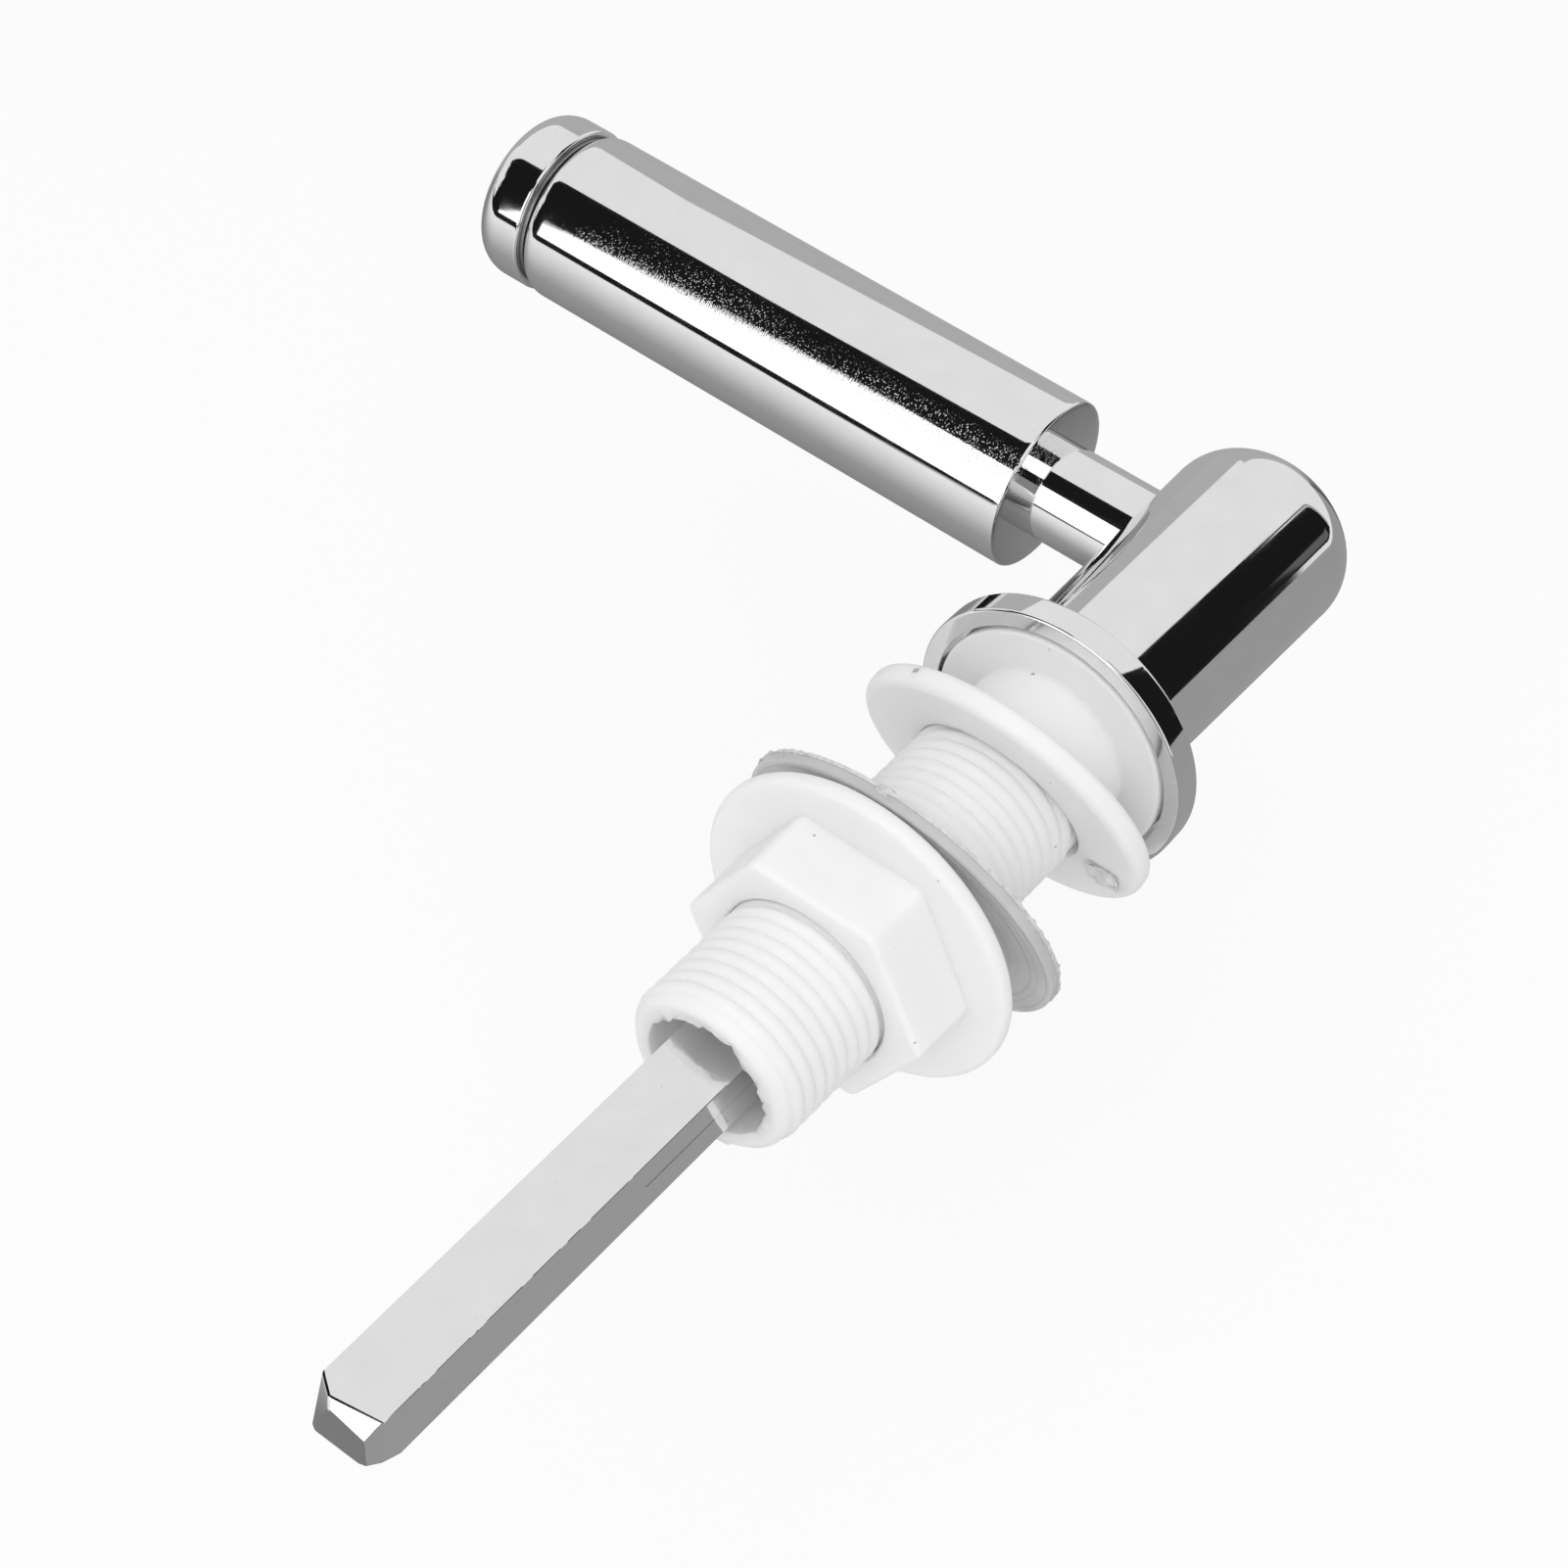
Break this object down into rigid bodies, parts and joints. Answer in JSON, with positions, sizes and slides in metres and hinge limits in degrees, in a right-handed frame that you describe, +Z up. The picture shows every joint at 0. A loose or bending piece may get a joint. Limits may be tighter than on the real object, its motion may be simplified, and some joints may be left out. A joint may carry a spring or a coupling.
{
  "type": "cistern lever",
  "caption": "Chrome side lever for a toilet cistern, with a square spindle that turns in a threaded plastic bush held by washers and a flanged back nut.",
  "frame": {"origin": "on the spindle axis, in the plane of the bush flange face that meets the cistern wall", "axes": "+Y along the spindle into the cistern, +X along the grip, +Z up"},
  "size_m": [0.1252, 0.1637, 0.0398],
  "materials": {
    "chrome": "polished chrome plate",
    "white_plastic": "satin moulded",
    "soft_washer": "translucent soft plastic"
  },
  "bodies": {
    "bush_body": {"bush": "white_plastic", "seat_washer": "white_plastic"},
    "lever": {"hub": "chrome", "spindle": "chrome", "neck": "chrome", "grip": "chrome", "grip_cap": "chrome"},
    "soft_washer_body": {"clamp_washer": "soft_washer"},
    "nut_body": {"back_nut": "white_plastic"}
  },
  "joints": [
    {"name": "lever_turn", "type": "hinge", "parent": "bush_body", "child": "lever", "pos_m": [0, 0, 0], "axis": [0, 1, 0], "range_deg": [0, 45]},
    {"name": "nut_travel", "type": "slide", "parent": "bush_body", "child": "soft_washer_body", "axis": [0, 1, 0], "range_m": [-0.0146, 0.0128]},
    {"name": "nut_turn", "type": "hinge", "parent": "soft_washer_body", "child": "nut_body", "pos_m": [0, 0.035, 0], "axis": [0, 1, 0], "range_deg": [-2880, 2520]}
  ],
  "couplings": [
    {"joint": "nut_travel", "follows": "nut_turn", "m_per_rad": 0.00028871}
  ]
}
